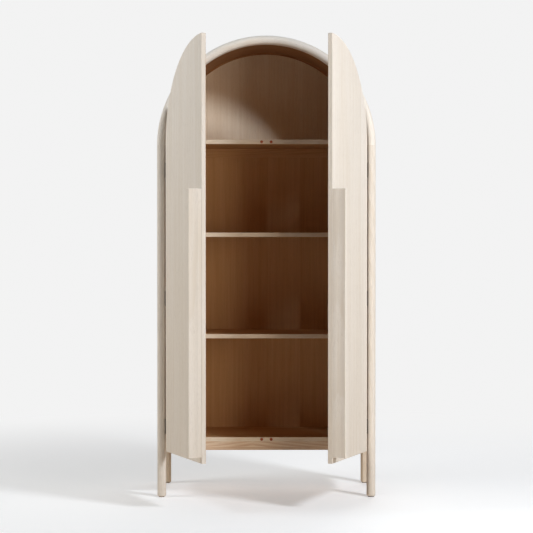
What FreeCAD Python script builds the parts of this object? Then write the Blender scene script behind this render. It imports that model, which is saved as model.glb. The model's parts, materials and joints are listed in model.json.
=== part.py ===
"""Arched two-door cabinet in pale wood, each piece a separate solid at its real size in millimetres.

X runs to the right, Y to the back and Z up. Inside the functions Y is the depth behind the front
plane of the case, and main() then moves every piece so that the origin lies on the floor at the
middle of the depth that the cabinet covers with its doors at rest.
"""
import FreeCAD
import Part
import math
import os

V = FreeCAD.Vector

# Case
case_width = 965.0
case_height = 2037.0
case_depth = 457.0

# Legs and arches of the front and rear frames
member_width = 38.0
member_depth = 45.0
nose_arcs = 4
rear_chamfer = 3.0
foot_chamfer = 4.0
glide_width = 24.0
glide_height = 3.0

# Panels
panel_thickness = 22.0
back_thickness = 12.0
back_setback = 8.0
back_groove = 6.0

# Fixed boards and rails
board_thickness = 19.0
board_setback = 26.5
board_dado = 6.0
board_fit = 0.3
board_chamfer = 1.0
case_bottom = 206.0
apron_height = 38.0
middle_rail_height = 40.0
rear_rail_depth = 28.0
shelf_above_spring = 5.5

# Inner shelves and the cleats under them
upper_shelf_top = 1169.0
lower_shelf_top = 720.0
shelf_side_gap = 1.5
shelf_back_gap = 2.0
cleat_width = 12.0
cleat_height = 15.0
cleat_inset = 40.0

# Doors
door_thickness = 20.0
door_edge_gap = 3.0
meeting_gap = 3.0
door_setback = 3.0
door_drop = 3.0
door_chamfer = 1.2
rest_angle = 67.0

# Fin pulls
handle_projection = 58.0
handle_thickness = 24.0
handle_length = 1121.0
handle_rise = 26.0
handle_chamfer = 1.5
scoop_depth = 1.5
scoop_width = 40.0
scoop_from_tip = 3.0

# Loose joint butt hinges
hinge_count = 3
hinge_inset = 110.0
leaf_height = 64.0
leaf_thickness = 1.5
case_leaf_width = 28.0
door_leaf_width = 15.0
knuckle_radius = 3.5
knuckle_gap = 0.3
pin_radius = 1.5
pin_running_gap = 0.05
pin_behind_face = 2.0

# Magnetic catches and their strike plates
catch_radius = 6.5
catch_offset = 21.0
catch_embed = 12.0
catch_door_gap = 0.3
strike_width = 16.0
strike_thickness = 1.5

# Loose tenons
tenon_thickness = 8.0
tenon_length = 40.0
tenon_margin = 5.0
tenon_wall = 1.0

# Length by which a cutting tool passes the surface that it cuts
overrun = 5.0

# Distance within which two places are taken as one when edges are picked
same_place = 0.01

# Places worked out from the sizes above
outer_radius = case_width / 2
inner_radius = outer_radius - member_width
mid_radius = outer_radius - member_width / 2
spring = case_height - outer_radius
panel_inner = mid_radius - panel_thickness / 2
panel_outer = mid_radius + panel_thickness / 2
rear_frame = case_depth - member_depth
back_face = rear_frame + back_setback
back_rear = back_face + back_thickness
bottom_panel_bottom = case_bottom + apron_height
fixed_shelf_bottom = spring + shelf_above_spring
middle_rail_bottom = fixed_shelf_bottom - middle_rail_height
door_radius = inner_radius - door_edge_gap
door_bottom = case_bottom - door_drop
door_free_edge = -meeting_gap / 2
door_back = door_setback + door_thickness
handle_bottom = door_bottom + handle_rise
hinge_x = -inner_radius + door_edge_gap / 2
hinge_depth = door_setback + pin_behind_face
hinge_room = knuckle_radius + knuckle_gap


def box(x, depth, z):
    """A box from three pairs of limits, low before high."""
    return Part.makeBox(x[1] - x[0], depth[1] - depth[0], z[1] - z[0], V(x[0], depth[0], z[0]))


def face_from(points):
    """A flat face inside straight edges."""
    return Part.Face(Part.makePolygon(points + points[:1]))


def near(a, b):
    return math.isclose(a, b, abs_tol=same_place)


def edges_where(shape, test):
    """The edges whose two ends both pass a test."""
    return [edge for edge in shape.Edges if all(test(end.Point) for end in edge.Vertexes)]


def half_width_at(radius, z):
    """Half the width inside an arch of a radius at a height; under the spring line it is the radius."""
    return math.sqrt(radius ** 2 - max(0, z - spring) ** 2)


def mirrored(shape):
    """The same piece on the right of the cabinet."""
    return shape.mirror(V(0, 0, 0), V(1, 0, 0))


def both_sides(shapes):
    return shapes + [mirrored(shape) for shape in shapes]


# Frames

def front_section(x, z):
    """Section of the front frame: a full half round in front, slanted back corners that end at the panel."""
    half = member_width / 2
    flat = panel_thickness / 2
    shoulder = member_depth - (half - flat)
    turns = [math.pi * i / (2 * nose_arcs) for i in range(2 * nose_arcs + 1)]
    round_points = [V(x - half * math.cos(turn), half - half * math.sin(turn), z) for turn in turns]
    nose = [Part.Arc(*round_points[i:i + 3]).toShape() for i in range(0, 2 * nose_arcs, 2)]
    back = [(half, half), (half, shoulder), (flat, member_depth), (-flat, member_depth), (-half, shoulder),
            (-half, half)]
    outline = Part.makePolygon([V(x + across, depth, z) for across, depth in back])
    return Part.Face(Part.Wire(nose + outline.Edges))


def rear_section(x, z):
    """Section of the rear frame: the same corners towards the panel, a flat back with small chamfers."""
    half = member_width / 2
    flat = panel_thickness / 2
    shoulder = rear_frame + half - flat
    right = [(flat, rear_frame), (half, shoulder), (half, case_depth - rear_chamfer),
             (half - rear_chamfer, case_depth)]
    left = [(-across, depth) for across, depth in reversed(right)]
    return face_from([V(x + across, depth, z) for across, depth in right + left])


def leg(section):
    """Left leg with a section, its foot eased all round."""
    solid = section(-mid_radius, glide_height).extrude(V(0, 0, spring - glide_height))
    return solid.makeChamfer(foot_chamfer, edges_where(solid, lambda p: near(p.z, glide_height)))


def half_turn(face):
    """Sweep a face that lies on the right at the spring line over the top to the left."""
    return face.revolve(V(0, 0, spring), V(0, -1, 0), 180)


def foot_glides():
    """Square pads under the four legs."""
    half = glide_width / 2
    middle = member_depth / 2
    left = [box((-mid_radius - half, -mid_radius + half), (depth - half, depth + half), (0, glide_height))
            for depth in (middle, case_depth - middle)]
    return both_sides(left)


# Panels

def side_panel():
    """Left side panel between the two frames."""
    return box((-panel_outer, -panel_inner), (member_depth, rear_frame), (case_bottom, spring))


def top_panel():
    """Curved panel between the two arches."""
    corners = [(panel_inner, member_depth), (panel_outer, member_depth), (panel_outer, rear_frame),
               (panel_inner, rear_frame)]
    return half_turn(face_from([V(x, depth, spring) for x, depth in corners]))


def back_panel_upper():
    """Half round back panel, held in a groove of the rear arch and of the middle rail."""
    radius = inner_radius + back_groove
    disc = Part.makeCylinder(radius, back_thickness, V(0, back_face, spring), V(0, 1, 0))
    return disc.common(box((-radius, radius), (back_face, back_rear), (spring, spring + radius)))


def back_panel_lower():
    """Flat back panel, held in grooves of the rear legs, the rear apron and the middle rail."""
    half = inner_radius + back_groove
    z = (bottom_panel_bottom - back_groove, middle_rail_bottom + back_groove)
    return box((-half, half), (back_face, back_rear), z)


# Boards and rails

def notched_board(bottom, half_at_frames, half_between, back_step, back_end):
    """A board that is narrower where it passes between the legs of a frame."""
    front_step = member_depth + board_fit
    right = [(half_at_frames, board_setback), (half_at_frames, front_step), (half_between, front_step),
             (half_between, back_step)]
    if back_end > back_step:
        right += [(half_at_frames, back_step), (half_at_frames, back_end)]
    left = [(-across, depth) for across, depth in reversed(right)]
    outline = face_from([V(across, depth, bottom) for across, depth in right + left])
    board = outline.extrude(V(0, 0, board_thickness))
    front = edges_where(board, lambda p: near(p.y, board_setback))
    long_edges = [edge for edge in front if near(edge.Vertexes[0].Z, edge.Vertexes[1].Z)]
    return board.makeChamfer(board_chamfer, long_edges)


def fixed_board(bottom):
    """A board let into dados of the side panels, reaching back to the back panel."""
    at_frames = half_width_at(inner_radius, bottom + board_thickness) - board_fit
    return notched_board(bottom, at_frames, panel_inner + board_dado, rear_frame - board_fit, back_face)


def inner_shelf(top):
    """A loose shelf, notched round the front legs."""
    back = rear_frame - shelf_back_gap
    return notched_board(top - board_thickness, inner_radius - shelf_side_gap, panel_inner - shelf_side_gap,
                         back, back)


def cleats(shelf_top):
    """A strip on each side panel under a loose shelf."""
    under = shelf_top - board_thickness
    left = box((-panel_inner, -panel_inner + cleat_width),
               (member_depth + cleat_inset, rear_frame - cleat_inset), (under - cleat_height, under))
    return both_sides([left])


def rail(depth, z):
    """A rail between the two legs of a frame."""
    half = half_width_at(inner_radius, z[1])
    return box((-half, half), depth, z)


# Loose tenons

def frame_tenons():
    """Upright tenons through the joint of each leg with its arch."""
    half_thickness = tenon_thickness / 2
    z = (spring - tenon_length / 2, spring + tenon_length / 2)
    margin = member_depth / 4
    left = [box((-mid_radius - half_thickness, -mid_radius + half_thickness), (start + margin,
                start + member_depth - margin), z) for start in (0, rear_frame)]
    return both_sides(left)


def rail_tenons(middle, plain_z):
    """Level tenons at the two ends of a rail, clear of the panel grooves and of the upright tenons."""
    half_thickness = tenon_thickness / 2
    left = box((-mid_radius + half_thickness + tenon_wall, -inner_radius + tenon_length / 2),
               (middle - half_thickness, middle + half_thickness),
               (plain_z[0] + tenon_margin, plain_z[1] - tenon_margin))
    return both_sides([left])


# Catches

def catches(board_bottom):
    """Two round magnetic catches in the front edge of a board."""
    front = door_back + catch_door_gap
    length = board_setback + catch_embed - front
    level = board_bottom + board_thickness / 2
    return [Part.makeCylinder(catch_radius, length, V(x, front, level), V(0, 1, 0))
            for x in (-catch_offset, catch_offset)]


def strike_plates():
    """Two plates let into the back of the left door, one facing each catch."""
    half = strike_width / 2
    levels = [bottom + board_thickness / 2 for bottom in (bottom_panel_bottom, fixed_shelf_bottom)]
    return [box((-catch_offset - half, -catch_offset + half), (door_back - strike_thickness, door_back),
                (level - half, level + half)) for level in levels]


# Left door, shut

def door_blank():
    """Plain slab with a quarter round top, its edges eased."""
    free_top = half_width_at(door_radius, spring + door_free_edge) + spring
    along = door_radius * math.sqrt(1 / 2)
    corners = [V(x, door_setback, z) for x, z in (
        (-door_radius, spring), (-door_radius, door_bottom), (door_free_edge, door_bottom),
        (door_free_edge, free_top))]
    top = Part.Arc(corners[3], V(-along, door_setback, spring + along), corners[0]).toShape()
    outline = Part.Wire(Part.makePolygon(corners).Edges + [top])
    slab = Part.Face(outline).extrude(V(0, door_thickness, 0))
    rims = [edges_where(slab, lambda p, face=face: near(p.y, face)) for face in (door_setback, door_back)]
    return slab.makeChamfer(door_chamfer, rims[0] + rims[1])


def handle():
    """Fin pull on the free edge of the door, with a shallow finger scoop along its inner side.

    Its edges are eased except where it sits on the door, and there the one along the door's free edge is
    eased too, so that a small groove lies between the two.
    """
    tip = door_setback - handle_projection
    z = (handle_bottom, handle_bottom + handle_length)
    fin = box((door_free_edge - handle_thickness, door_free_edge), (tip, door_setback), z)
    seam = edges_where(fin, lambda p: near(p.y, door_setback))
    groove = edges_where(fin, lambda p: near(p.y, door_setback) and near(p.x, door_free_edge))
    eased = [edge for edge in fin.Edges if not any(edge.isSame(other) for other in seam)]
    fin = fin.makeChamfer(handle_chamfer, eased + groove)
    radius = (scoop_width ** 2 / 4 + scoop_depth ** 2) / (2 * scoop_depth)
    centre = V(door_free_edge + radius - scoop_depth, tip + scoop_from_tip + scoop_width / 2, z[0] - overrun)
    return fin.cut(Part.makeCylinder(radius, handle_length + 2 * overrun, centre))


# Hinges of the left door, shut

def hinge_column(radius, z):
    """A cylinder of a radius on the hinge line."""
    return Part.makeCylinder(radius, z[1] - z[0], V(hinge_x, hinge_depth, z[0]))


def hinge_halves(centre):
    """The heights of the case's half of a hinge and of the door's half above it."""
    low = centre - leaf_height / 2
    return (low, centre - knuckle_gap / 2), (centre + knuckle_gap / 2, low + leaf_height)


def leaf_plate(side, width, centre):
    """Plate of a leaf, against the leg at side -1 and against the door at side 1."""
    inner = hinge_x + side * door_edge_gap / 2
    x = sorted((inner, inner + side * leaf_thickness))
    return box(x, (hinge_depth, hinge_depth + width), (centre - leaf_height / 2, centre + leaf_height / 2))


def leaf(plate, own, other, bore):
    """A leaf with one knuckle, and room for the knuckle of the other leaf."""
    room = (other[0] - knuckle_gap, other[1] + knuckle_gap)
    joined = plate.cut(hinge_column(hinge_room, room)).fuse(hinge_column(knuckle_radius, own))
    return joined.cut(hinge_column(bore, own)).removeSplitter()


def case_leaf(centre):
    """Leaf in the leg, whose knuckle holds the pin."""
    lower, upper = hinge_halves(centre)
    return leaf(leaf_plate(-1, case_leaf_width, centre), lower, upper, pin_radius)


def door_leaf(centre):
    """Leaf in the door's edge, whose knuckle turns on the pin."""
    lower, upper = hinge_halves(centre)
    return leaf(leaf_plate(1, door_leaf_width, centre), upper, lower, pin_radius + pin_running_gap)


def hinge_pin(centre):
    lower, upper = hinge_halves(centre)
    return hinge_column(pin_radius, (lower[0], upper[1]))


def knuckle_relief(centre):
    """Hollow in the door's corner, in which the knuckles sit."""
    lower, upper = hinge_halves(centre)
    return hinge_column(hinge_room, (lower[0] - knuckle_gap, upper[1] + knuckle_gap))


# Assembly

def hinge_centres():
    """Heights of the hinges, evenly spaced between the lowest and the highest."""
    low = door_bottom + hinge_inset
    pitch = (spring - hinge_inset - low) / (hinge_count - 1)
    return [low + pitch * i for i in range(hinge_count)]


def frame_pieces():
    """The two frames, with the panels between and inside them."""
    upper_back = back_panel_upper()
    lower_back = back_panel_lower()
    front_z = (case_bottom, bottom_panel_bottom)
    rear_z = (case_bottom, bottom_panel_bottom - back_groove)
    middle_z = (middle_rail_bottom + back_groove, spring)
    front_depth = (board_setback, board_setback + board_thickness)
    rear_depth = (rear_frame, rear_frame + rear_rail_depth)
    front_middle = board_setback + board_thickness / 2
    rear_middle = rear_frame + rear_rail_depth / 2
    upright = frame_tenons()
    level = (rail_tenons(front_middle, front_z) + rail_tenons(rear_middle, rear_z)
             + rail_tenons(rear_middle, middle_z))
    mortises = [leaf_plate(-1, case_leaf_width, centre) for centre in hinge_centres()]
    front_leg = leg(front_section).cut(upright + level + mortises)
    rear_leg = leg(rear_section).cut(upright + level + [lower_back])
    middle_rail = rail(rear_depth, (middle_rail_bottom, fixed_shelf_bottom))
    return {
        "front_leg_left": front_leg,
        "front_leg_right": mirrored(front_leg),
        "rear_leg_left": rear_leg,
        "rear_leg_right": mirrored(rear_leg),
        "front_arch": half_turn(front_section(mid_radius, spring)).cut(upright),
        "rear_arch": half_turn(rear_section(mid_radius, spring)).cut(upright + [upper_back]),
        "front_apron": rail(front_depth, front_z).cut(level),
        "rear_apron": rail(rear_depth, front_z).cut(level + [lower_back]),
        "rear_middle_rail": middle_rail.cut(level + [upper_back, lower_back]),
        "back_panel_upper": upper_back,
        "back_panel_lower": lower_back,
        "frame_tenons": Part.makeCompound(upright),
        "rail_tenons": Part.makeCompound(level),
        "foot_glides": Part.makeCompound(foot_glides()),
    }


def body_pieces():
    """The side and top panels, the boards between them and the catches."""
    bottom = fixed_board(bottom_panel_bottom)
    fixed = fixed_board(fixed_shelf_bottom)
    bottom_catches = catches(bottom_panel_bottom)
    shelf_catches = catches(fixed_shelf_bottom)
    side = side_panel().cut(bottom)
    return {
        "side_panel_left": side,
        "side_panel_right": mirrored(side),
        "top_panel": top_panel().cut(fixed),
        "bottom_panel": bottom.cut(bottom_catches),
        "fixed_shelf": fixed.cut(shelf_catches),
        "upper_shelf": inner_shelf(upper_shelf_top),
        "lower_shelf": inner_shelf(lower_shelf_top),
        "upper_shelf_cleats": Part.makeCompound(cleats(upper_shelf_top)),
        "lower_shelf_cleats": Part.makeCompound(cleats(lower_shelf_top)),
        "magnetic_catches": Part.makeCompound(bottom_catches + shelf_catches),
    }


def left_hinge_case_pieces():
    """The halves of the left hinges that stay on the case."""
    centres = hinge_centres()
    return {
        "case_leaves": Part.makeCompound([case_leaf(centre) for centre in centres]),
        "hinge_pins": Part.makeCompound([hinge_pin(centre) for centre in centres]),
    }


def left_door_pieces():
    """The pieces of the left door, turned to the rest angle."""
    centres = hinge_centres()
    plates = strike_plates()
    recesses = [leaf_plate(1, door_leaf_width, centre) for centre in centres]
    recesses += [knuckle_relief(centre) for centre in centres]
    pieces = {
        "door_panel": door_blank().cut(recesses + plates),
        "handle": handle(),
        "strike_plates": Part.makeCompound(plates),
        "door_leaves": Part.makeCompound([door_leaf(centre) for centre in centres]),
    }
    for piece in pieces.values():
        piece.rotate(V(hinge_x, hinge_depth, 0), V(0, 0, -1), rest_angle)
    return pieces


def depth_to_origin():
    """Depth of the origin: the middle between the back of the case and the front of the open pulls."""
    angle = math.radians(rest_angle)
    along_door = door_free_edge - hinge_x
    from_pin = pin_behind_face + handle_projection - handle_chamfer
    tip = hinge_depth - along_door * math.sin(angle) - from_pin * math.cos(angle)
    return (case_depth + tip) / 2


def main():
    os.makedirs("parts", exist_ok=True)
    pieces = {**frame_pieces(), **body_pieces()}
    for name, piece in {**left_hinge_case_pieces(), **left_door_pieces()}.items():
        pieces["left_" + name] = piece
        pieces["right_" + name] = mirrored(piece)
    for name, piece in pieces.items():
        placed = piece.copy()
        placed.translate(V(0, -depth_to_origin(), 0))
        placed.exportStep("parts/" + name + ".step")


main()
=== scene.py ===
"""Tall arched cabinet in pale bleached wood, its two doors open, on a pale studio floor.

Every length is in metres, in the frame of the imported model: X to the right, Y to the back, Z up.
"""

import json
import math

import bmesh
import bpy
from mathutils import Matrix, Vector


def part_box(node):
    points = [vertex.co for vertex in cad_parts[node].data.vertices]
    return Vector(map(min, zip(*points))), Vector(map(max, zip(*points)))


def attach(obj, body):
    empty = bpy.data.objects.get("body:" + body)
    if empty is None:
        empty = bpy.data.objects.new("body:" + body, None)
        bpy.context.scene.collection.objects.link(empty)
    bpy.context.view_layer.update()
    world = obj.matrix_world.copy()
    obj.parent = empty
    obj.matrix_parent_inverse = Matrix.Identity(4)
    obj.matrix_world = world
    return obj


MM = 0.001

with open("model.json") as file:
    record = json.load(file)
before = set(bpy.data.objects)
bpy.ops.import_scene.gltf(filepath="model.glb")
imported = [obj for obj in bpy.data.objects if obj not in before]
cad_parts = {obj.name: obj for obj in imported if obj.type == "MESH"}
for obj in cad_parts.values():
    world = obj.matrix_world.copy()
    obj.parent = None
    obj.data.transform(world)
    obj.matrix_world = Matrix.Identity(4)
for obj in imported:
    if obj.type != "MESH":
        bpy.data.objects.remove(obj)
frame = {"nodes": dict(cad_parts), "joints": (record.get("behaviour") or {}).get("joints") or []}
NODES = frame["nodes"]
JOINTS = {joint["name"]: joint for joint in frame["joints"]}
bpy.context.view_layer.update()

# Places read from the frame
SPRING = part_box("top_panel")[0].z
CASE_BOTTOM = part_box("front_apron")[0].z
SHELF_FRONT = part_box("fixed_shelf")[0].y
BACK_PANEL_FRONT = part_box("back_panel_lower")[0].y
OUTER_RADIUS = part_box("front_arch")[1].x
LEG_FACE = abs(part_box("front_leg_left")[1].x)
MEMBER_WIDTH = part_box("front_leg_left")[1].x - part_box("front_leg_left")[0].x
MID_RADIUS = OUTER_RADIUS - MEMBER_WIDTH / 2
PANEL_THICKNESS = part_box("side_panel_left")[1].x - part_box("side_panel_left")[0].x

# A face counts as an inner one up to this distance from its own place
FACE_MARGIN = 1 * MM

# From the hinge pin to the door's inner face, when the door is shut
DOOR_BACK = 18 * MM


# Colours

def linear(red, green, blue):
    """A shader colour from the 0 to 255 values seen on a screen."""
    shares = [value / 255 for value in (red, green, blue)]
    return [share / 12.92 if share <= 0.04045 else ((share + 0.055) / 1.055) ** 2.4
            for share in shares] + [1.0]


def toned(colour, factor, lift=0.0):
    """A paler or darker tone of a shader colour."""
    return [min(1.0, part * factor + lift) for part in colour[:3]] + [1.0]


def grey(value):
    return (value, value, value, 1.0)


# The wood has two tones, a pale one and a warm one, and its figure runs between them
OUTSIDE = (linear(238, 233, 227), linear(225, 216, 204))
# Front arch: the outside wood's tone raised a little, partly painted light for its lit top
FRONT_ARCH = (linear(242, 238, 232), linear(231, 223, 213))
# Rear frame: the wood's tone made warmer, partly painted shade for the rear legs, which stand in shade
REAR_FRAME = (linear(237, 227, 212), linear(221, 205, 184))
INSIDE = (linear(241, 226, 203), linear(221, 198, 167))
# Inner face of the upper back panel: a little paler than the rest of the inside, partly painted light
# for the patch that the key lamp lights
UPPER_BACK = (linear(250, 238, 219), linear(233, 214, 188))
# Inner faces of the lower back panel and the front of the rear rail: darker and warmer, painted shade
LOWER_BACK = (linear(228, 189, 142), linear(204, 160, 112))
# Shelves: the front edges a little paler than the outside wood, partly painted light
SHELF_EDGE = (linear(250, 240, 224), linear(238, 220, 196))
# Shelf tops, undersides and cleats: darker and warmer, painted shade
SHELF_SIDE = (linear(216, 176, 130), linear(188, 144, 98))
# Painted shade: darker, warmer tones that the inner faces of the doors, side panels, top panel, legs
# and rear arch take in place of the pale wood, standing in for the shade inside the cabinet
PAINTED_SHADE = (linear(178, 134, 94), linear(146, 102, 66))
APRON = (linear(246, 228, 206), linear(216, 180, 146))
PORE_BROWN = [0.30, 0.22, 0.16, 1.0]
BRONZE = linear(58, 47, 38)
STEEL = linear(190, 187, 182)
CATCH_BROWN = linear(168, 78, 28)
FELT_GREY = linear(62, 54, 47)


# Shader graphs

class Graph:
    """A node tree of a material or a world, with short calls that add a node and link its inputs."""

    def __init__(self, owner, output_kind):
        owner.use_nodes = True
        self.owner = owner
        self.tree = owner.node_tree
        self.tree.nodes.clear()
        self.output = self.tree.nodes.new(output_kind)

    def link(self, value, socket):
        """Link an output to a socket, or set the socket to a constant."""
        if isinstance(value, bpy.types.NodeSocket):
            self.tree.links.new(value, socket)
        else:
            socket.default_value = value

    def node(self, kind, inputs=(), **settings):
        """Add a node with its settings, and link or set its inputs."""
        made = self.tree.nodes.new(kind)
        for key, value in settings.items():
            setattr(made, key, value)
        for key, value in dict(inputs).items():
            self.link(value, made.inputs[key])
        return made

    def finish(self, shader):
        """Link the last shader, and give back the material or world."""
        self.link(shader.outputs[0], self.output.inputs["Surface"])
        return self.owner

    def surface(self, inputs):
        """Finish with one principled surface."""
        return self.finish(self.node("ShaderNodeBsdfPrincipled", inputs))

    def emission(self, value):
        """An even grey glow."""
        return self.node("ShaderNodeEmission", {"Color": grey(value), "Strength": 1.0})

    def mix_shaders(self, share, first, second):
        return self.node("ShaderNodeMixShader", {0: share, 1: first.outputs[0], 2: second.outputs[0]})

    def math(self, operation, first, second=0.0, clamp=False):
        return self.node("ShaderNodeMath", {0: first, 1: second}, operation=operation,
                         use_clamp=clamp).outputs[0]

    def add(self, first, second):
        return self.math("ADD", first, second)

    def subtract(self, first, second, clamp=False):
        return self.math("SUBTRACT", first, second, clamp)

    def multiply(self, first, second):
        return self.math("MULTIPLY", first, second)

    def divide(self, first, second):
        return self.math("DIVIDE", first, second)

    def total(self, *values):
        """Sum of several values."""
        result = values[0]
        for value in values[1:]:
            result = self.add(result, value)
        return result

    def hypotenuse(self, first, second):
        squares = self.add(self.multiply(first, first), self.multiply(second, second))
        return self.math("SQRT", squares)

    def step(self, value, low, high):
        """Smooth step from 0 at low to 1 at high."""
        made = self.node("ShaderNodeMapRange", {"Value": value, "From Min": low, "From Max": high},
                         interpolation_type="SMOOTHSTEP")
        return made.outputs["Result"]

    def mix(self, share, first, second):
        """Mix two colours."""
        made = self.node("ShaderNodeMix", data_type="RGBA", blend_type="MIX")
        self.link(share, made.inputs["Factor"])
        self.link(first, made.inputs["A"])
        self.link(second, made.inputs["B"])
        return made.outputs["Result"]

    def noise(self, vector, scale, detail, roughness=0.5):
        return self.node("ShaderNodeTexNoise", {"Vector": vector, "Scale": scale, "Detail": detail,
                                                "Roughness": roughness}).outputs["Fac"]

    def stretch(self, vector, scale):
        return self.node("ShaderNodeMapping", {"Vector": vector, "Scale": scale}).outputs["Vector"]

    def grain_noise(self, space, across, along, detail, roughness=0.5):
        """Noise in grain space, with its own scale per metre across and along the grain."""
        return self.noise(self.stretch(space, (across, across, along)), 1.0, detail, roughness)

    def bump(self, height, strength, distance):
        return self.node("ShaderNodeBump", {"Height": height, "Strength": strength,
                                            "Distance": distance}).outputs["Normal"]

    def combine(self, x, y, z):
        return self.node("ShaderNodeCombineXYZ", {"X": x, "Y": y, "Z": z}).outputs["Vector"]

    def separate(self, vector):
        return self.node("ShaderNodeSeparateXYZ", {"Vector": vector}).outputs

    def place(self):
        """The point's own place in the frame of the model."""
        return self.node("ShaderNodeTexCoord").outputs["Object"]

    def reach(self):
        """Distance from the middle plane between left and right."""
        return self.math("ABSOLUTE", self.separate(self.place())["X"])

    def seen(self):
        """1 for what the eye sees, straight, in gloss or through glass, and 0 for all other light."""
        path = self.node("ShaderNodeLightPath").outputs
        mirrored = self.math("MAXIMUM", path["Is Glossy Ray"], path["Is Transmission Ray"])
        return self.math("MAXIMUM", path["Is Camera Ray"], mirrored)


def material_graph(name):
    return Graph(bpy.data.materials.new(name), "ShaderNodeOutputMaterial")


# Grain space: across the face, through it, and along the grain

def upright_grain(graph):
    """Grain that runs up, for a face that spreads along X."""
    return graph.place()


def upright_side_grain(graph):
    """Grain that runs up, for a face that spreads along Y."""
    place = graph.separate(graph.place())
    return graph.combine(place["Y"], place["X"], place["Z"])


def level_grain(graph):
    """Grain that runs along X, for a face that spreads along Z."""
    place = graph.separate(graph.place())
    return graph.combine(place["Z"], place["Y"], place["X"])


def shelf_grain(graph):
    """Grain that runs along X, for a face that spreads along Y."""
    place = graph.separate(graph.place())
    return graph.combine(place["Y"], place["Z"], place["X"])


def deep_grain(graph):
    """Grain that runs from front to back, for a face that spreads along Z."""
    place = graph.separate(graph.place())
    return graph.combine(place["Z"], place["X"], place["Y"])


def arch_parts(graph):
    """Radius from the centre of the arch, depth, and length round the arch."""
    place = graph.separate(graph.place())
    height = graph.subtract(place["Z"], SPRING)
    angle = graph.math("ARCTAN2", height, place["X"])
    return graph.hypotenuse(height, place["X"]), place["Y"], graph.multiply(angle, MID_RADIUS)


def arch_grain(graph):
    """Grain round the arch, for a face that spreads along the radius."""
    radius, depth, along = arch_parts(graph)
    return graph.combine(radius, depth, along)


def vault_grain(graph):
    """Grain round the arch, for a face that spreads along the depth."""
    radius, depth, along = arch_parts(graph)
    return graph.combine(depth, radius, along)


def door_grain(side):
    """Upright grain in the plane of an open door, measured from its hinge line."""
    joint = JOINTS[side + "_door_hinge"]
    turn = math.radians(joint["range_deg"][0]) * joint["axis"][2]
    pin = Vector(joint["pos_m"])
    shift = -(Matrix.Rotation(turn, 3, "Z") @ pin)

    def grain(graph):
        made = graph.node("ShaderNodeMapping", {"Vector": graph.place(), "Location": shift,
                                                "Rotation": (0, 0, turn)})
        return made.outputs["Vector"]

    return grain


# Inner sides: 1 on the faces that show inside the cabinet, and 0 elsewhere. There the wood takes
# painted shade, or on the upper back panel a paler tone that is partly painted light

def within_panels(graph, distance):
    """1 where a distance from the middle is no larger than that of the panels' inner faces."""
    return graph.math("LESS_THAN", distance, OUTER_RADIUS - PANEL_THICKNESS + FACE_MARGIN)


def side_panel_inside(graph):
    return within_panels(graph, graph.reach())


def top_panel_inside(graph):
    return within_panels(graph, arch_parts(graph)[0])


def shelf_inside(graph):
    """1 behind the front edge of a shelf."""
    return graph.math("GREATER_THAN", graph.separate(graph.place())["Y"], SHELF_FRONT + FACE_MARGIN)


def back_inside(graph):
    """1 up to the front of the back panels."""
    return graph.math("LESS_THAN", graph.separate(graph.place())["Y"], BACK_PANEL_FRONT + FACE_MARGIN)


def above_feet(graph):
    """1 from the bottom of the case upwards."""
    return graph.math("GREATER_THAN", graph.separate(graph.place())["Z"], CASE_BOTTOM)


# The leg's inner face takes painted shade, which darkens the gap between the leg and the door
def front_leg_inside(graph):
    inner_face = graph.math("LESS_THAN", graph.reach(), OUTER_RADIUS - MEMBER_WIDTH + FACE_MARGIN / 2)
    return graph.multiply(inner_face, above_feet(graph))


def rear_leg_inside(graph):
    inner_faces = graph.multiply(within_panels(graph, graph.reach()), back_inside(graph))
    return graph.multiply(inner_faces, above_feet(graph))


def rear_arch_inside(graph):
    return graph.multiply(back_inside(graph), top_panel_inside(graph))


# A door's inner face takes painted shade
def door_inside(side):
    """1 on the face of a door that looks into the cabinet when the door is shut."""
    grain = door_grain(side)

    def inside(graph):
        return graph.math("GREATER_THAN", graph.separate(grain(graph))["Y"], DOOR_BACK - FACE_MARGIN)

    return inside


# Wood

# Widths of a leaf of veneer and of a stave of solid wood, and the spacing of the growth rings
LEAF_WIDTH = 148 * MM
STAVE_WIDTH = 74 * MM
RING_SPACING = 6.5 * MM

# Boards are counted from a place beyond all pieces, so that no number is below zero
FIRST_BOARD = 3.17

# The trunk: over how many board widths the heart's place varies, over what length the boards' places
# along it vary, and the length over which the rings widen before they close again
HEART_SPREAD = 2.2
CUT_SPREAD = 9.0
CONE_LENGTH = 2.3

# How much the rings widen along the trunk: the more, the shorter the pointed arches in the figure
TAPER = 0.05
DOOR_TAPER = 0.03

# How far the rings stray from a true circle, in slow bends and in quick ones
RING_BEND = 30 * MM
RING_WAVER = 6 * MM

# The dark line of a ring grows slowly over the first range of the spacing, and ends over the second
RING_START = (0.25, 0.86)
RING_END = (0.90, 1.0)

# Noises in the wood: scales per metre across and along the grain, and detail
BEND_NOISE = (7.0, 1.1, 3.0)
WAVER_NOISE = (40.0, 4.0, 2.0)
BROAD_NOISE = (9.0, 0.7, 3.0)
STREAK_NOISE = (70.0, 1.8, 4.0, 0.6)
FIBRE_NOISE = (420.0, 9.0, 2.0)
PORE_NOISE = (1100.0, 34.0, 1.0)

# Range of a noise over which its pattern appears, and the share of the pores that late wood closes
BROAD_RANGE = (0.30, 0.75)
STREAK_RANGE = (0.32, 0.72)
PORE_RANGE = (0.60, 0.72)
CLOSED_PORES = 0.7

# How far each pattern takes the colour from the pale tone to the warm one, less what stays pale
RING_SHARE = 0.34
STREAK_SHARE = 0.34
BROAD_SHARE = 0.30
BOARD_SHARE = 0.22
FIBRE_SHARE = 0.35
PALE_SHARE = 0.10

# How much of the pores' own brown shows
PORE_SHARE = 0.30

# Relief of each pattern, and the strength and height of the bumps
RING_RELIEF = 0.5
FIBRE_RELIEF = 0.6
PORE_RELIEF = -0.8
WOOD_BUMP = (0.35, 0.12 * MM)

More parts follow.
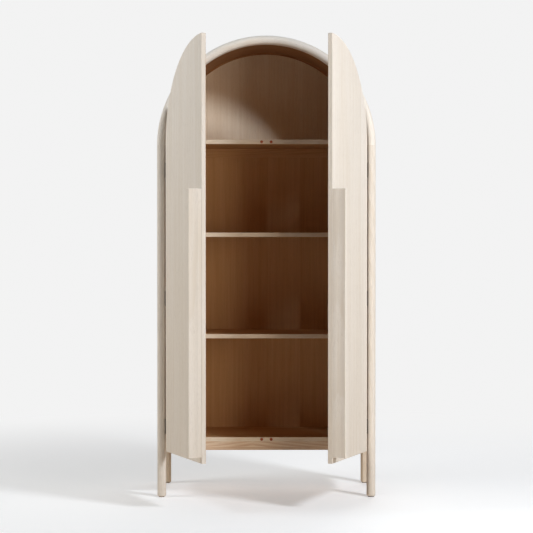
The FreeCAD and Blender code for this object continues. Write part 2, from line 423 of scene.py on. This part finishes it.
# Roughness, what the fibres add to it, and the shine of most pieces and of the shelves and the back
WOOD_ROUGHNESS = 0.59
FIBRE_ROUGHNESS = 0.10
SATIN = 0.2
MATT = 0.05


def cut_boards(graph, space, board_width, seed):
    """Divide grain space into boards. Gives the grain space of each board, measured from its middle,
    and three random values of its own."""
    across, through, along = graph.separate(space)
    across = graph.add(across, FIRST_BOARD + seed)
    board = graph.math("FLOOR", graph.divide(across, board_width))
    draw = graph.node("ShaderNodeTexWhiteNoise", {"W": graph.add(board, seed)}, noise_dimensions="1D")
    random = graph.separate(draw.outputs["Color"])
    middle = graph.multiply(graph.add(board, 0.5), board_width)
    own = graph.subtract(across, middle)
    shifted = graph.add(along, graph.multiply(random["X"], CUT_SPREAD))
    return graph.combine(own, graph.add(through, random["Y"]), shifted), random


def growth_rings(graph, boards, random, board_width, off_heart, taper):
    """Late wood of the growth rings: 1 in the dark line of a ring, 0 in its pale early wood."""
    across, _, along = graph.separate(boards)
    bend = graph.grain_noise(boards, *BEND_NOISE)
    waver = graph.grain_noise(boards, *WAVER_NOISE)
    heart = graph.multiply(graph.add(random["Z"], off_heart - 0.5), HEART_SPREAD * board_width)
    side_way = graph.add(graph.subtract(across, heart),
                         graph.multiply(graph.subtract(bend, 0.5), RING_BEND))
    depth = graph.add(graph.multiply(graph.math("PINGPONG", along, CONE_LENGTH), taper),
                      graph.multiply(waver, RING_WAVER))
    ring = graph.math("FRACT", graph.divide(graph.hypotenuse(side_way, depth), RING_SPACING))
    ended = graph.step(ring, *RING_END)
    return graph.multiply(graph.step(ring, *RING_START), graph.subtract(1.0, ended))


def wood(name, grain, tones, board_width=LEAF_WIDTH, seed=0.0, figure=1.0, taper=TAPER,
         inner_side=None, inner_tones=PAINTED_SHADE, off_heart=0.0, shine=SATIN):
    """Bleached wood. Each board or leaf is cut at its own distance from the heart, so that some show
    nearly straight lines and some show long pointed arches. Cut far off the heart, all lines are
    straight. The side that faces into the cabinet can take other tones: mostly darker, warmer ones
    that paint the shade inside the cabinet, and on the upper back panel paler ones that partly
    paint the light on it."""
    graph = material_graph(name)
    pale, warm = tones
    if inner_side is not None:
        inner = inner_side(graph)
        pale = graph.mix(inner, pale, inner_tones[0])
        warm = graph.mix(inner, warm, inner_tones[1])
    boards, random = cut_boards(graph, grain(graph), board_width, seed)
    late_wood = growth_rings(graph, boards, random, board_width, off_heart, taper)
    broad = graph.step(graph.grain_noise(boards, *BROAD_NOISE), *BROAD_RANGE)
    streak = graph.step(graph.grain_noise(boards, *STREAK_NOISE), *STREAK_RANGE)
    fibre = graph.grain_noise(boards, *FIBRE_NOISE)
    pore = graph.step(graph.grain_noise(boards, *PORE_NOISE), *PORE_RANGE)
    pore = graph.multiply(pore, graph.subtract(1.0, graph.multiply(late_wood, CLOSED_PORES)))
    shade = graph.total(
        graph.multiply(late_wood, RING_SHARE * figure),
        graph.multiply(streak, STREAK_SHARE),
        graph.multiply(broad, BROAD_SHARE),
        graph.multiply(random["Y"], BOARD_SHARE),
        graph.multiply(graph.subtract(fibre, 0.5), FIBRE_SHARE))
    colour = graph.mix(graph.subtract(shade, PALE_SHARE, clamp=True), pale, warm)
    relief = graph.total(
        graph.multiply(late_wood, RING_RELIEF * figure),
        graph.multiply(fibre, FIBRE_RELIEF),
        graph.multiply(pore, PORE_RELIEF))
    return graph.surface({
        "Base Color": graph.mix(graph.multiply(pore, PORE_SHARE), colour, PORE_BROWN),
        "Roughness": graph.add(WOOD_ROUGHNESS, graph.multiply(fibre, FIBRE_ROUGHNESS)),
        "Normal": graph.bump(relief, *WOOD_BUMP),
        "Specular IOR Level": shine})


# Metal

# Scales per metre of its brushed lines, and scale and detail of the noise in them
BRUSH = (260.0, 260.0, 18.0)
BRUSH_NOISE = (6.0, 3.0)

# Patches of wear: scale per metre and detail, the range of the noise over which they appear, how much
# of their colour comes through, and how much paler it is
PATCH_NOISE = (90.0, 3.0)
PATCH_RANGE = (0.50, 0.80)
PATCH_SHARE = 0.5
WORN_TONE = (1.7, 0.02)

# Roughness that both noises add, and what is taken off for the smoothest parts
WEAR_ROUGHNESS = 0.10
SMOOTHEST = 0.08
METAL_BUMP = (0.15, 0.05 * MM)


def metal(name, colour, roughness):
    """Metal with fine wear: brushed along one way, duller and a little paler in patches."""
    graph = material_graph(name)
    place = graph.place()
    lines = graph.noise(graph.stretch(place, BRUSH), *BRUSH_NOISE)
    patches = graph.noise(place, *PATCH_NOISE)
    wear = graph.add(graph.multiply(lines, WEAR_ROUGHNESS), graph.multiply(patches, WEAR_ROUGHNESS))
    worn = graph.multiply(graph.step(patches, *PATCH_RANGE), PATCH_SHARE)
    return graph.surface({
        "Base Color": graph.mix(worn, colour, toned(colour, *WORN_TONE)),
        "Roughness": graph.add(roughness - SMOOTHEST, wear),
        "Normal": graph.bump(lines, *METAL_BUMP),
        "Metallic": 1.0})


# Moulded plastic

# Noises: scale per metre and detail of the mould's grain and of the flow marks
MOULD_NOISE = (1500.0, 2.0)
FLOW_NOISE = (120.0, 2.0)
FLOW_TONE = 0.7
FLOW_SHARE = 0.6
PLASTIC_ROUGHNESS = 0.38
MOULD_ROUGHNESS = 0.15
PLASTIC_BUMP = (0.25, 0.05 * MM)


def moulded_plastic(name, colour):
    """Plastic with the fine grain of its mould, and darker where it flowed."""
    graph = material_graph(name)
    place = graph.place()
    grain = graph.noise(place, *MOULD_NOISE)
    flow = graph.noise(place, *FLOW_NOISE)
    return graph.surface({
        "Base Color": graph.mix(graph.multiply(flow, FLOW_SHARE), colour, toned(colour, FLOW_TONE)),
        "Roughness": graph.add(PLASTIC_ROUGHNESS, graph.multiply(grain, MOULD_ROUGHNESS)),
        "Normal": graph.bump(grain, *PLASTIC_BUMP)})


# Felt

# Hairs: scale per metre, detail and roughness of their noise, and how pale they are
HAIR_NOISE = (900.0, 4.0, 0.7)
HAIR_TONE = 2.2
HAIR_SHARE = 0.7
FELT_ROUGHNESS = 0.95
FELT_SHEEN = 0.4
FELT_BUMP = (0.8, 0.3 * MM)


def felt(name, colour):
    """Pressed wool felt."""
    graph = material_graph(name)
    hairs = graph.noise(graph.place(), *HAIR_NOISE)
    return graph.surface({
        "Base Color": graph.mix(graph.multiply(hairs, HAIR_SHARE), colour, toned(colour, HAIR_TONE)),
        "Roughness": FELT_ROUGHNESS,
        "Sheen Weight": FELT_SHEEN,
        "Normal": graph.bump(hairs, *FELT_BUMP)})


# Dressing of the nodes. A seed says from which part of the wood a piece is cut

SIDE_SEEDS = {"left": 0.31, "right": 0.77}
REAR_LEG_SEED = 0.2
SIDE_PANEL_SEED = 0.4
DOOR_SEEDS = {"left": 0.37, "right": 0.91}
HANDLE_SEED = 0.3
# The upper back panel's inner face is paler, partly painted light, and the lower one's darker, painted
# shade
BACK_PANELS = {"back_panel_upper": (0.21, UPPER_BACK), "back_panel_lower": (0.52, LOWER_BACK)}
SHELF_SEEDS = {"bottom_panel": 0.11, "fixed_shelf": 0.35, "upper_shelf": 0.56, "lower_shelf": 0.74}
APRON_SEEDS = {"front_apron": 0.46, "rear_apron": 0.64}

# How far off the heart boards are cut, in spreads of the heart. Far off it, their lines are straight
BACK_OFF_HEART = 2.0
DOOR_OFF_HEART = 1.0

# The figure of the aprons is stronger than that of the other pieces
APRON_FIGURE = 1.6


def clothe(material, *names):
    """Give a material to CAD nodes."""
    for name in names:
        NODES[name].data.materials.clear()
        NODES[name].data.materials.append(material)


def dress_frame():
    """Front and rear legs and arches."""
    for side, seed in SIDE_SEEDS.items():
        # The front legs' inner faces take painted shade, which darkens the gap beside the doors
        clothe(wood("leg_wood_" + side, upright_grain, OUTSIDE, STAVE_WIDTH, seed,
                    inner_side=front_leg_inside), "front_leg_" + side)
        # The rear legs take a warmer tone, partly painted shade, and their inner faces painted shade
        clothe(wood("rear_leg_wood_" + side, upright_grain, REAR_FRAME, STAVE_WIDTH,
                    seed + REAR_LEG_SEED, inner_side=rear_leg_inside), "rear_leg_" + side)
    # The front arch's paler tone is partly painted light
    clothe(wood("front_arch_wood", arch_grain, FRONT_ARCH, STAVE_WIDTH, seed=0.13), "front_arch")
    # The rear arch takes the rear frame's warmer tone, partly painted shade, and its inner face painted
    # shade
    clothe(wood("rear_arch_wood", arch_grain, REAR_FRAME, STAVE_WIDTH, seed=0.59,
                inner_side=rear_arch_inside), "rear_arch")


def dress_panels():
    """Side panels, top panel and back panels."""
    # The side panels' and the top panel's inner faces take painted shade
    for side, seed in SIDE_SEEDS.items():
        clothe(wood("side_panel_wood_" + side, upright_side_grain, OUTSIDE, seed=seed + SIDE_PANEL_SEED,
                    inner_side=side_panel_inside), "side_panel_" + side)
    clothe(wood("top_panel_wood", vault_grain, OUTSIDE, seed=0.83, inner_side=top_panel_inside),
           "top_panel")
    for name, (seed, inner_tones) in BACK_PANELS.items():
        clothe(wood(name + "_wood", upright_grain, INSIDE, seed=seed, inner_side=back_inside,
                    inner_tones=inner_tones, off_heart=BACK_OFF_HEART, shine=MATT), name)


def dress_shelves():
    """Bottom panel and shelves, with the strips that carry the loose ones."""
    # The shelves' tops and undersides take painted shade, their front edges a paler tone that is partly
    # painted light
    for name, seed in SHELF_SEEDS.items():
        clothe(wood(name + "_wood", shelf_grain, SHELF_EDGE, seed=seed, inner_side=shelf_inside,
                    inner_tones=SHELF_SIDE, shine=MATT), name)
    # The cleats take the shelves' painted shade
    clothe(wood("cleat_wood", deep_grain, SHELF_SIDE, STAVE_WIDTH, seed=0.27),
           "upper_shelf_cleats", "lower_shelf_cleats")


def dress_rails():
    """Aprons, rear rail and the tenons of the frame."""
    for name, seed in APRON_SEEDS.items():
        clothe(wood(name + "_wood", level_grain, APRON, STAVE_WIDTH, seed, APRON_FIGURE), name)
    # The rail's front face takes the lower back panel's painted shade
    clothe(wood("rear_middle_rail_wood", level_grain, INSIDE, STAVE_WIDTH, seed=0.92,
                inner_side=back_inside, inner_tones=LOWER_BACK, shine=MATT), "rear_middle_rail")
    clothe(wood("tenon_wood", level_grain, INSIDE, STAVE_WIDTH, seed=0.68),
           "frame_tenons", "rail_tenons")


def dress_doors():
    """Door slabs and their pulls."""
    # The doors' inner faces take painted shade
    for side, seed in DOOR_SEEDS.items():
        clothe(wood("door_wood_" + side, door_grain(side), OUTSIDE, seed=seed, taper=DOOR_TAPER,
                    inner_side=door_inside(side), off_heart=DOOR_OFF_HEART), side + "_door_panel")
        clothe(wood("handle_wood_" + side, door_grain(side), OUTSIDE, STAVE_WIDTH, seed + HANDLE_SEED,
                    taper=DOOR_TAPER), side + "_handle")


def dress_fittings():
    """Hinges, strike plates, catches and the pads under the feet."""
    bronze = metal("hinge_bronze", BRONZE, roughness=0.42)
    steel = metal("strike_steel", STEEL, roughness=0.34)
    for side in DOOR_SEEDS:
        clothe(bronze, side + "_case_leaves", side + "_hinge_pins", side + "_door_leaves")
        clothe(steel, side + "_strike_plates")
    clothe(moulded_plastic("catch_plastic", CATCH_BROWN), "magnetic_catches")
    clothe(felt("glide_felt", FELT_GREY), "foot_glides")


# Screw heads

# Sides of a round head, and the turn of each head's cross from the one before it, in radians
SCREW_SIDES = 20
SCREW_TURN = 0.9

# Shape of a head, as shares of its radius: height of its dome, and its cross recess
DOME_SHARE = 0.10
SLOT_SHARE = 0.16
SLOT_REACH_SHARE = 0.62
SLOT_DEPTH_SHARE = 0.55

# The recess narrows to this share of its width at its floor
SLOT_FLOOR_SHARE = 0.7

# Rings of the dome: share of the head's radius, and share of the dome's height
DOME_RING_SHARES = ((1.0, 0.0), (0.97, 0.6), (0.80, 1.0))

# Radii of the heads
CASE_LEAF_SCREW = 2.9 * MM
DOOR_LEAF_SCREW = 2.6 * MM
PULL_SCREW = 3.6 * MM
CLEAT_SCREW = 3.4 * MM

# Places of the three screws in a hinge leaf: above its middle, and behind the pin
LEAF_HEIGHT = 64 * MM
LEAF_SCREW_HEIGHTS = (-21 * MM, 0.0, 21 * MM)
CASE_LEAF_DEPTHS = (14 * MM, 21 * MM, 14 * MM)
DOOR_LEAF_DEPTHS = (8.5 * MM, 11.5 * MM, 8.5 * MM)

# A pull's outer screws lie this far from its ends, and all of them lie this far from the middle plane
# between left and right when the door is shut
PULL_SCREW_INSET = 90 * MM
PULL_MIDDLE = 13.5 * MM

CLEAT_WIDTH = 12 * MM
CLEAT_SCREWS = 3


def cross_outline(slot, reach):
    """Outline of a cross recess, one arm after the other."""
    arm = [(reach, -slot), (reach, slot), (slot, slot)]
    outline = []
    for _ in range(4):
        outline += arm
        arm = [(-beside, across) for across, beside in arm]
    return outline


def screw_head(mesh, place, outward, radius, turn):
    """Add a countersunk head with a cross recess to a mesh: a low dome, its rim at the place."""
    up = Vector(outward).normalized()
    side = up.orthogonal().normalized()
    side.rotate(Matrix.Rotation(turn, 3, up))
    other = up.cross(side)

    def ring(outline, height):
        """Points on a closed outline."""
        return [mesh.verts.new(Vector(place) + side * across + other * beside + up * height)
                for across, beside in outline]

    def join(first, second):
        """Faces between two rings of points."""
        for i in range(len(first)):
            j = (i + 1) % len(first)
            mesh.faces.new((first[i], first[j], second[j], second[i]))

    def edges(points):
        """Edges round a ring of points."""
        return [mesh.edges.get((points[i - 1], points[i])) for i in range(len(points))]

    dome = DOME_SHARE * radius
    angles = [math.tau * i / SCREW_SIDES for i in range(SCREW_SIDES)]
    circle = [(radius * math.cos(angle), radius * math.sin(angle)) for angle in angles]
    rings = [ring([(across * share, beside * share) for across, beside in circle], dome * height)
             for share, height in DOME_RING_SHARES]
    for low, high in zip(rings, rings[1:]):
        join(low, high)
    cross = cross_outline(SLOT_SHARE * radius, SLOT_REACH_SHARE * radius)
    top = ring(cross, dome)
    floor = ring([(across * SLOT_FLOOR_SHARE, beside * SLOT_FLOOR_SHARE) for across, beside in cross],
                 dome - SLOT_DEPTH_SHARE * radius)
    join(floor, top)
    mesh.faces.new(floor)
    bmesh.ops.triangle_fill(mesh, use_beauty=True, use_dissolve=False, normal=up,
                            edges=edges(rings[-1]) + edges(top))


def screws(name, places, radius, material, body, move=Matrix.Identity(4)):
    """One piece of several screw heads. Each place is a point and the way that its head faces."""
    mesh = bmesh.new()
    for i, (place, outward) in enumerate(places):
        screw_head(mesh, place, outward, radius, SCREW_TURN * i)
    bmesh.ops.recalc_face_normals(mesh, faces=mesh.faces)
    mesh.transform(move)
    data = bpy.data.meshes.new(name)
    mesh.to_mesh(data)
    mesh.free()
    piece = bpy.data.objects.new(name, data)
    bpy.context.scene.collection.objects.link(piece)
    data.materials.append(material)
    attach(piece, body)


def leaf_places(x, pin_depth, depths, outward):
    """Places of the screws in the three leaves on one hinge line."""
    lowest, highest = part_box("left_case_leaves")
    low = lowest.z + LEAF_HEIGHT / 2
    high = highest.z - LEAF_HEIGHT / 2
    return [((x, pin_depth + depth, middle + height), outward)
            for middle in (low, (low + high) / 2, high)
            for depth, height in zip(depths, LEAF_SCREW_HEIGHTS)]


def add_door_screws(side, sign, bronze, steel):
    """Screws of one door's hinges and pull. Those on the door are placed with the door shut, and then
    turned with it to its rest."""
    joint = JOINTS[side + "_door_hinge"]
    door = side + "_door"
    pin = Vector(joint["pos_m"])
    turn = Matrix.Rotation(math.radians(-joint["range_deg"][0]), 4, Vector(joint["axis"]))
    opened = Matrix.Translation(pin) @ turn @ Matrix.Translation(-pin)
    door_edge = 2 * abs(pin.x) - LEG_FACE
    screws(side + "_case_leaf_screws",
           leaf_places(sign * LEG_FACE, pin.y, CASE_LEAF_DEPTHS, (-sign, 0, 0)),
           CASE_LEAF_SCREW, bronze, "case")
    screws(side + "_door_leaf_screws",
           leaf_places(sign * door_edge, pin.y, DOOR_LEAF_DEPTHS, (sign, 0, 0)),
           DOOR_LEAF_SCREW, bronze, door, opened)
    low, high = (corner.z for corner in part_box(side + "_handle"))
    heights = (low + PULL_SCREW_INSET, (low + high) / 2, high - PULL_SCREW_INSET)
    screws(side + "_handle_screws",
           [((sign * PULL_MIDDLE, pin.y + DOOR_BACK, height), (0, 1, 0)) for height in heights],
           PULL_SCREW, steel, door, opened)


def add_cleat_screws(steel):
    """Screws of the strips under the loose shelves."""
    places = []
    for node in ("upper_shelf_cleats", "lower_shelf_cleats"):
        lowest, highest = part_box(node)
        height = (lowest.z + highest.z) / 2
        face = highest.x - CLEAT_WIDTH
        spacing = (highest.y - lowest.y) / CLEAT_SCREWS
        for i in range(CLEAT_SCREWS):
            depth = lowest.y + spacing * (i + 0.5)
            places += [((sign * face, depth, height), (-sign, 0, 0)) for sign in (-1, 1)]
    screws("cleat_screws", places, CLEAT_SCREW, steel, "case")


def add_screws():
    """Screws of the hinges, of the pulls and of the shelf cleats."""
    bronze = metal("screw_bronze", BRONZE, roughness=0.36)
    steel = metal("screw_steel", STEEL, roughness=0.30)
    add_door_screws("left", -1, bronze, steel)
    add_door_screws("right", 1, bronze, steel)
    add_cleat_screws(steel)


# Studio

FLOOR_RADIUS = 40.0
FLOOR_SIDES = 96
FLOOR_TONES = (linear(225, 227, 230), linear(229, 231, 234))
FLOOR_BOUNCE = linear(226, 212, 196)
FLOOR_ROUGHNESS = 0.7
SPECK_NOISE = (30.0, 3.0)

# The floor glows a little for the eye, and fades into the background between two distances
FLOOR_GLOW = 0.32
FADE = (0.9, 3.6)

# Grey of the background, and the even light of the world on other things
BACKGROUND = 0.895
AMBIENT = 0.002
AMBIENT_COLOUR = (1.0, 0.99, 0.98, 1.0)

# Height at which a lamp is aimed when it isn't given one
AIM_HEIGHT = 1.05

# Camera, as it stood in front of the cabinet, for a square picture
IMAGE_SIDE = 533
CAMERA_PLACE = (-37.0 * MM, -7122.3 * MM, 1132.0 * MM)
CAMERA_PITCH = math.radians(0.908)
CAMERA_YAW = math.radians(-0.301)
FOCAL_PIXELS = 1612.9
SENSOR = 36.0


def floor_paint():
    """Pale paint for the eye, and a warmer matt floor for the light that it throws back."""
    graph = material_graph("floor_paint")
    place = graph.place()
    distance = graph.node("ShaderNodeVectorMath", {0: place}, operation="LENGTH").outputs["Value"]
    paint = graph.node("ShaderNodeBsdfPrincipled", {
        "Base Color": graph.mix(graph.noise(place, *SPECK_NOISE), *FLOOR_TONES),
        "Roughness": FLOOR_ROUGHNESS,
        "Specular IOR Level": SATIN})
    glow = graph.emission(FLOOR_GLOW)
    near = graph.node("ShaderNodeAddShader", {0: paint.outputs[0], 1: glow.outputs[0]})
    shown = graph.mix_shaders(graph.step(distance, *FADE), near, graph.emission(BACKGROUND))
    bounce = graph.node("ShaderNodeBsdfDiffuse", {"Color": FLOOR_BOUNCE})
    return graph.finish(graph.mix_shaders(graph.seen(), bounce, shown))


def add_floor():
    """A pale floor that turns into the background a few metres from the cabinet."""
    mesh = bmesh.new()
    bmesh.ops.create_circle(mesh, cap_ends=True, segments=FLOOR_SIDES, radius=FLOOR_RADIUS)
    data = bpy.data.meshes.new("floor")
    mesh.to_mesh(data)
    mesh.free()
    floor = bpy.data.objects.new("floor", data)
    bpy.context.scene.collection.objects.link(floor)
    data.materials.append(floor_paint())


def add_world():
    """Pale background for the eye, and a dimmer even light for the rest."""
    graph = Graph(bpy.data.worlds.new("studio"), "ShaderNodeOutputWorld")
    light = graph.node("ShaderNodeBackground", {"Color": AMBIENT_COLOUR, "Strength": AMBIENT})
    shown = graph.node("ShaderNodeBackground", {"Color": grey(BACKGROUND), "Strength": 1.0})
    bpy.context.scene.world = graph.finish(graph.mix_shaders(graph.seen(), light, shown))


def add_lamp(name, azimuth, distance, height, size, power, colour=(1.0, 1.0, 1.0), aim=AIM_HEIGHT):
    """A flat lamp round the cabinet, aimed at a height on its middle line. Azimuth 0 is in front of it,
    and 90 on its right."""
    turn = math.radians(azimuth)
    lamp = bpy.data.lights.new(name, "AREA")
    lamp.shape = "RECTANGLE"
    lamp.size, lamp.size_y = size
    lamp.energy = power
    lamp.color = colour
    place = Vector((math.sin(turn) * distance, -math.cos(turn) * distance, height))
    piece = bpy.data.objects.new(name, lamp)
    piece.location = place
    piece.rotation_euler = (Vector((0, 0, aim)) - place).to_track_quat("-Z", "Y").to_euler()
    bpy.context.scene.collection.objects.link(piece)


def add_lamps():
    """A key lamp high on the right, turned down to keep the top soft, and weaker fills all round."""
    add_lamp("key", azimuth=45.5, distance=3.97, height=3.33, size=(0.75, 0.75), power=144,
             colour=(0.94, 0.97, 1.0), aim=-1.0)
    add_lamp("right_fill", azimuth=30, distance=5.0, height=1.3, size=(1.2, 2.0), power=55,
             colour=(1.0, 0.88, 0.74))
    add_lamp("left_fill", azimuth=-80, distance=4.0, height=1.4, size=(2.0, 2.4), power=53,
             colour=(1.0, 0.92, 0.81))
    add_lamp("left_top_fill", azimuth=-80, distance=2.4, height=3.3, size=(1.0, 1.0), power=25,
             colour=(0.85, 0.93, 1.0), aim=1.9)
    add_lamp("rear_fill", azimuth=165, distance=4.0, height=2.2, size=(3.0, 2.4), power=50)


def add_camera():
    data = bpy.data.cameras.new("camera")
    data.sensor_width = SENSOR
    data.lens = FOCAL_PIXELS / IMAGE_SIDE * SENSOR
    camera = bpy.data.objects.new("camera", data)
    camera.location = CAMERA_PLACE
    camera.rotation_euler = (math.pi / 2 - CAMERA_PITCH, 0, CAMERA_YAW)
    bpy.context.scene.collection.objects.link(camera)
    bpy.context.scene.camera = camera


dress_frame()
dress_panels()
dress_shelves()
dress_rails()
dress_doors()
dress_fittings()
add_screws()
add_floor()
add_world()
add_lamps()
add_camera()
bpy.context.scene.view_settings.view_transform = "Standard"
